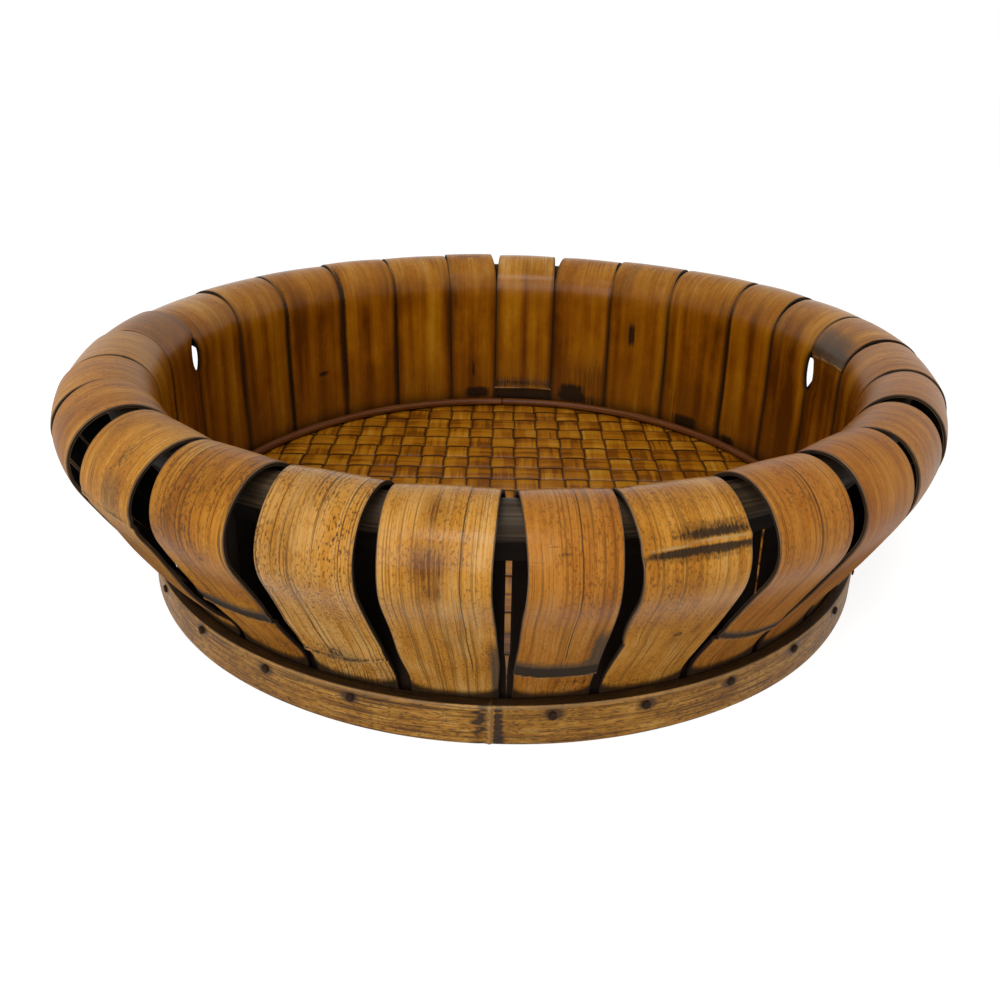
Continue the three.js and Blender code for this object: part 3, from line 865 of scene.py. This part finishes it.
# two shallow notches in the lower edge of the band: place round the tray in degrees, rise
bandNotches = ((259.5, 5.5), (463.5, 2.6))
rimBand, radius, sweep, height = spinHoop(hoopSet["band"])
bandTurn = np.degrees(sweep) + hoopSet["band"]["joint"]
for notchTurn, notchRise in bandNotches:
    height = height + notchRise * (1 - smoothStep(height, 60.5, 70.0)) * bell(bandTurn, notchTurn, 4.5, 4)
placeHoop(rimBand, hoopSet["band"], radius, sweep, height)

trimHoop, radius, sweep, height = spinHoop(hoopSet["trim"])
height = height + 0.12 * np.sin(sweep * hoopSet["trim"]["radius"] / 27)
placeHoop(trimHoop, hoopSet["trim"], radius, sweep, height)

rimCore, radius, sweep, height = spinHoop(hoopSet["core"])
coreAngle = np.arctan2(height - hoopSet["core"]["height"], radius - hoopSet["core"]["radius"])
placeHoop(rimCore, hoopSet["core"], radius, sweep, height)
setLayer(rimCore.data, "section", np.degrees(coreAngle))
print("hoops spun")

# Nails: one wire nail made at the front, its flat head hammered a little, then copied to each place (mm).
# The head and the shank grow by steps of an inset and a push.
nailSet = {
    "headRadius": 1.3,
    "headThickness": 0.6,
    "seat": 136.05,
    "headSteps": ((0.45, 0.14), (0.5, 0.05)),
    "shankSteps": ((0.9, 7.4), (0.35, 1.2)),
    "edgeRound": 0.18,
}
bpy.ops.mesh.primitive_cylinder_add(vertices=14, radius=nailSet["headRadius"] * mm,
                                    depth=nailSet["headThickness"] * mm)
nailPattern = bpy.context.object
bpy.ops.object.mode_set(mode="EDIT")
for facing, steps in ((1, nailSet["headSteps"]), (-1, nailSet["shankSteps"])):
    nailEdit = bmesh.from_edit_mesh(nailPattern.data)
    for face in nailEdit.faces:
        face.select_set(face.normal.z * facing > 0.9)
    bmesh.update_edit_mesh(nailPattern.data)
    for inset, push in steps:
        bpy.ops.mesh.inset(thickness=inset * mm, depth=0.0)
        bpy.ops.mesh.extrude_region_move(TRANSFORM_OT_translate={"value": (0, 0, facing * push * mm)})
    bpy.ops.mesh.select_all(action="DESELECT")
bpy.ops.object.mode_set(mode="OBJECT")
applyModifier(nailPattern, "BEVEL", {"width": nailSet["edgeRound"] * mm, "segments": 2,
                                     "limit_method": "ANGLE", "angle_limit": math.radians(55)})
bpy.ops.object.shade_smooth_by_angle(angle=math.radians(40))
nailPlace = (0, -(nailSet["seat"] + 0.5 * nailSet["headThickness"]) * mm, nailHeight * mm)
nailPattern.data.transform(Matrix.Translation(nailPlace) @ Matrix.Rotation(math.radians(90), 4, "X"))
nailPieces = []
for nailName, nailAngle in zip(nailNames, nailAngles):
    mesh = nailPattern.data.copy()
    mesh.name = "iron_" + nailName.removeprefix("foot_")
    mesh.transform(Matrix.Rotation(nailAngle, 4, "Z"))
    piece = newObject(mesh.name, mesh)
    dress(piece, nailName)
    nailPieces.append(piece)
bpy.data.objects.remove(nailPattern)
print("nails driven")

# Woven floor: one over, one under, in wide strips that stand almost edge to edge (mm)
weaveSet = {
    "warp": {"pitch": 10.95, "start": -0.7, "first": -11, "last": 11, "width": 10.5},
    "weft": {"pitch": 12.0, "start": 2.4, "first": -11, "last": 10, "width": 11.6},
    "thickness": 0.7,
    "level": 4.0,
    "wave": 0.4,
    "pillow": 0.1,
    "edge": 126.4,
    "margin": 0.3,
    "columns": 6,
    "rows": 230,
    "bunch": 0.88,
    "crown": 0.26,
}
weaveSheet, weaveAcross, weaveShare = flatGrid(weaveSet)
weaveAlong = 2 * weaveShare - 1


def weaveStrip(index, own, other, asWarp):
    edge = weaveSet["edge"]
    limit = edge - weaveSet["margin"]
    middle = own["start"] + index * own["pitch"] + chance.uniform(-0.2, 0.2)
    halfWidth = 0.5 * own["width"] * chance.uniform(0.97, 1.02)
    tone = chance.uniform(-1, 1)
    seed = chance.uniform(0, 300)
    low = max(middle - halfWidth, -limit)
    high = min(middle + halfWidth, limit)
    side = low + (weaveAcross + 1) * 0.5 * (high - low)
    t = weaveAlong * np.sqrt(edge ** 2 - side ** 2)
    # which crossing strip is at t, and whether this one passes over it, with a quick step in between
    crossing = (t - other["start"]) / other["pitch"]
    cell = np.floor(crossing)
    part = smoothStep(crossing - cell, 0.37, 0.63)
    overHere = np.where((cell + index) % 2 == (1 if asWarp else 0), 1.0, -1.0)
    over = overHere * (1 - 2 * part)
    pillow = np.cos(math.pi * (crossing - np.round(crossing))) ** 2
    z = weaveSet["level"] + (weaveSet["wave"] + weaveSet["pillow"] * pillow) * over
    z = z - weaveSet["crown"] * np.abs(weaveAcross) ** 3.0
    side = side + 0.15 * np.sin(t / 17 + seed)
    mesh = weaveSheet.data.copy()
    writePoints(mesh, np.stack([side, t, z] if asWarp else [t, side, z], 1) * mm)
    patch = np.sin(cell * 2.7 + index * 4.1 + seed)
    fromEdge = 1 - (1 - np.abs(weaveAcross)) * halfWidth
    setLayer(mesh, "grain", weaveAcross * halfWidth * mm, t * mm, seed)
    setLayer(mesh, "strip", tone + 0.7 * patch, fromEdge, 0.5 + 0.5 * over)
    return newObject("weave_strip", mesh)


floorPieces = []
for ownName, otherName in (("warp", "weft"), ("weft", "warp")):
    own = weaveSet[ownName]
    strips = []
    for index in range(own["first"], own["last"] + 1):
        strips.append(weaveStrip(index, own, weaveSet[otherName], ownName == "warp"))
    selectOnly(strips[0])
    for piece in strips:
        piece.select_set(True)
    bpy.ops.object.join()
    wovenPiece = bpy.context.object
    wovenPiece.name = "woven_floor_" + ownName
    wovenPiece.data.name = wovenPiece.name
    # all faces look up
    bpy.ops.object.mode_set(mode="EDIT")
    bpy.ops.mesh.select_all(action="SELECT")
    bpy.ops.mesh.normals_make_consistent(inside=False)
    wovenEdit = bmesh.from_edit_mesh(wovenPiece.data)
    for face in wovenEdit.faces:
        if face.normal.z < 0:
            face.normal_flip()
    bmesh.update_edit_mesh(wovenPiece.data)
    bpy.ops.object.mode_set(mode="OBJECT")
    applyModifier(wovenPiece, "SOLIDIFY", {"thickness": weaveSet["thickness"] * mm, "offset": 0.0})
    bpy.ops.object.shade_smooth_by_angle(angle=math.radians(50))
    dress(wovenPiece, "floor_mat")
    floorPieces.append(wovenPiece)
bpy.data.objects.remove(weaveSheet)
print("floor woven")

# Bamboo hoop, scraped and oiled: tan with long dark fibre lines, burnt at the seam, rust round the nails;
# painted shade on its top face and a painted highlight along its top edge.
# Patterns here and below: size across and along in mm, detail
footSet = {
    "fibre": (0.5, 18.0, 4.0),
    "hair": (0.5, 24.0, 2.0),
    "streak": (2.0, 40.0, 3.0),
    "cloud": (4.0, 9.0, 4.0),
    "fleck": (0.55, 1.8, 3.0),
}
footBamboo, tree, shader = newMaterial("bamboo_hoop_oiled")
mark = readLayer(tree, "burnsAndShade", ("burnAndShade", "rust", "pale"))
pattern = {name: grainNoise(tree, *size, solid=True) for name, size in footSet.items()}
toneSum = addUp(tree, -0.35, [(pattern["fibre"], 0.7), (pattern["streak"], 0.6), (pattern["cloud"], 0.6)])
footRamp = setRamp(addNode(tree, "ValToRGB", None, [toneSum]),
                   [(0.36, "#44290a"), (0.5, "#7c5118"), (0.6, "#966622"), (0.78, "#b2843e")])
hairLine = addNode(tree, "MapRange", None, [pattern["hair"], 0.53, 0.63, 0.0, 0.85])
fleckDot = addNode(tree, "MapRange", None, [pattern["fleck"], 0.52, 0.62, 0.0, 0.75])
fineFull = addNode(tree, "Math", largest, [hairLine, fleckDot])
fray = addUp(tree, -0.55, [(pattern["fibre"], 1.1)])
# burns, and painted shade on the top face
burnAndShadeFray = addNode(tree, "Math", added, [fray, mark["burnAndShade"]])
burnAndShadeFull = addNode(tree, "MapRange", None, [burnAndShadeFray, 0.25, 0.7, 0.0, 0.92])
rustFray = addNode(tree, "Math", added, [fray, mark["rust"]])
rustFull = addNode(tree, "MapRange", None, [rustFray, 0.25, 0.9, 0.0, 0.85])
# the pale ridge of the joint at the seam, and a painted highlight along the top edge
paleFull = addNode(tree, "Math", multiply, [mark["pale"], 0.6])
colour = paintOver(tree, footRamp, [(fineFull, "#3c230a"), (burnAndShadeFull, "#170d06"), (rustFull, "#2e1b0e"),
                                    (paleFull, "#b39468")])
finishLook(tree, shader, colour, 0.5, sheen=0.2, height=pattern["fibre"], strength=0.45, depth=0.18)
footHoop.data.materials.append(footBamboo)
innerHoop.data.materials.append(footBamboo)

# Bamboo stained almost black, rubbed grey-brown where it is round: two thin painted highlight lines run under
# its bulge
coreLook, tree, shader = newMaterial("bamboo_core_dark_stain")
fibre = grainNoise(tree, across=0.8, along=40.0, detail=3.0, roughness=0.6, solid=True)
coreRamp = setRamp(addNode(tree, "ValToRGB", None, [fibre]), [(0.3, "#2b2017"), (0.7, "#54432f")])
section = addNode(tree, "Attribute", {"attribute_name": "section"})
underBulge = addNode(tree, "MapRange", None, [section.outputs["Fac"], -90.0, 0.0])
highlightLineRamp = setRamp(addNode(tree, "ValToRGB", None, [underBulge]),
                   [(0.60, "#000000"), (0.64, "#7a7a7a"), (0.69, "#000000"),
                    (0.78, "#000000"), (0.82, "#909090"), (0.87, "#000000")])
colour = paintOver(tree, coreRamp, [(highlightLineRamp, "#9a8164")])
finishLook(tree, shader, colour, 0.48, sheen=0.2, height=fibre, strength=0.35, depth=0.15)
rimCore.data.materials.append(coreLook)

# Bamboo stained black, and darker still as painted shade under the round hoop: the flat band stays dull and
# dark behind it
bandLook, tree, shader = newMaterial("bamboo_band_stain_and_painted_shade")
fibre = grainNoise(tree, across=0.8, along=50.0, detail=3.0, roughness=0.6, solid=True)
bandStainAndShadeRamp = setRamp(addNode(tree, "ValToRGB", None, [fibre]), [(0.3, "#120c06"), (0.7, "#271b10")])
setInputs(shader, {"Base Color": bandStainAndShadeRamp, "Roughness": 0.55, "Specular IOR Level": 0.12})
rimBand.data.materials.append(bandLook)

# Woven bamboo under thick amber varnish: each strip its own tone; dark along the edges, partly varnish pooled
# there and partly painted shade of the gaps; painted shade where a strip dips under its crossing one
floorSet = {"fibre": (0.6, 22.0, 3.0, 0.6), "streak": (2.6, 60.0, 3.0, 0.6)}
floorLook, tree, shader = newMaterial("bamboo_weave_amber_varnish")
weave = readLayer(tree, "strip", ("tone", "edge", "over"))
pattern = {name: grainNoise(tree, *size) for name, size in floorSet.items()}
toneSum = addUp(tree, -0.25, [(pattern["fibre"], 0.5), (pattern["streak"], 0.9), (weave["tone"], 0.13)])
floorRamp = setRamp(addNode(tree, "ValToRGB", None, [toneSum]),
                    [(0.26, "#7a4404"), (0.42, "#a8660a"), (0.6, "#bf7f16"), (0.8, "#d09a3a")])
edgeVarnishAndShade = addNode(tree, "MapRange", None, [weave["edge"], 0.05, 0.65, 0.0, 0.92])
dipShade = addNode(tree, "MapRange", None, [weave["over"], 0.9, 0.35, 0.0, 0.9])
colour = paintOver(tree, floorRamp, [(edgeVarnishAndShade, "#2e1604"), (dipShade, "#2e1604")])
finishLook(tree, shader, colour, 0.3, sheen=0.3, height=pattern["fibre"], strength=0.3, depth=0.12)
for piece in floorPieces:
    piece.data.materials.append(floorLook)

# Rattan core, varnished red-brown: fine pores along the cane, a soft highlight on its round top
trimLook, tree, shader = newMaterial("rattan_red_brown_varnish")
pores = grainNoise(tree, across=0.7, along=25.0, detail=4.0, solid=True)
trimRamp = setRamp(addNode(tree, "ValToRGB", None, [pores]),
                   [(0.3, "#4a2409"), (0.52, "#673814"), (0.75, "#865426")])
finishLook(tree, shader, trimRamp, 0.4, sheen=0.2, height=pores, strength=0.3, depth=0.12)
trimHoop.data.materials.append(trimLook)

# Iron wire nail, rusted dark: rough brown-black with lighter rust grains
rustGrit = 0.6
nailLook, tree, shader = newMaterial("iron_nail_rusted")
spot = addNode(tree, "TexCoord")
rustGrain = addNode(tree, "TexNoise", None, {"Vector": spot.outputs["Object"], "Scale": 1 / (rustGrit * mm),
                                             "Detail": 4.0, "Roughness": 0.65})
rustRamp = setRamp(addNode(tree, "ValToRGB", None, [rustGrain]),
                   [(0.35, "#140c07"), (0.55, "#29180d"), (0.75, "#472a17")])
finishLook(tree, shader, rustRamp, 0.8, sheen=0.15, height=rustGrain, strength=0.5, depth=0.1)
for piece in nailPieces:
    piece.data.materials.append(nailLook)
print("materials set")
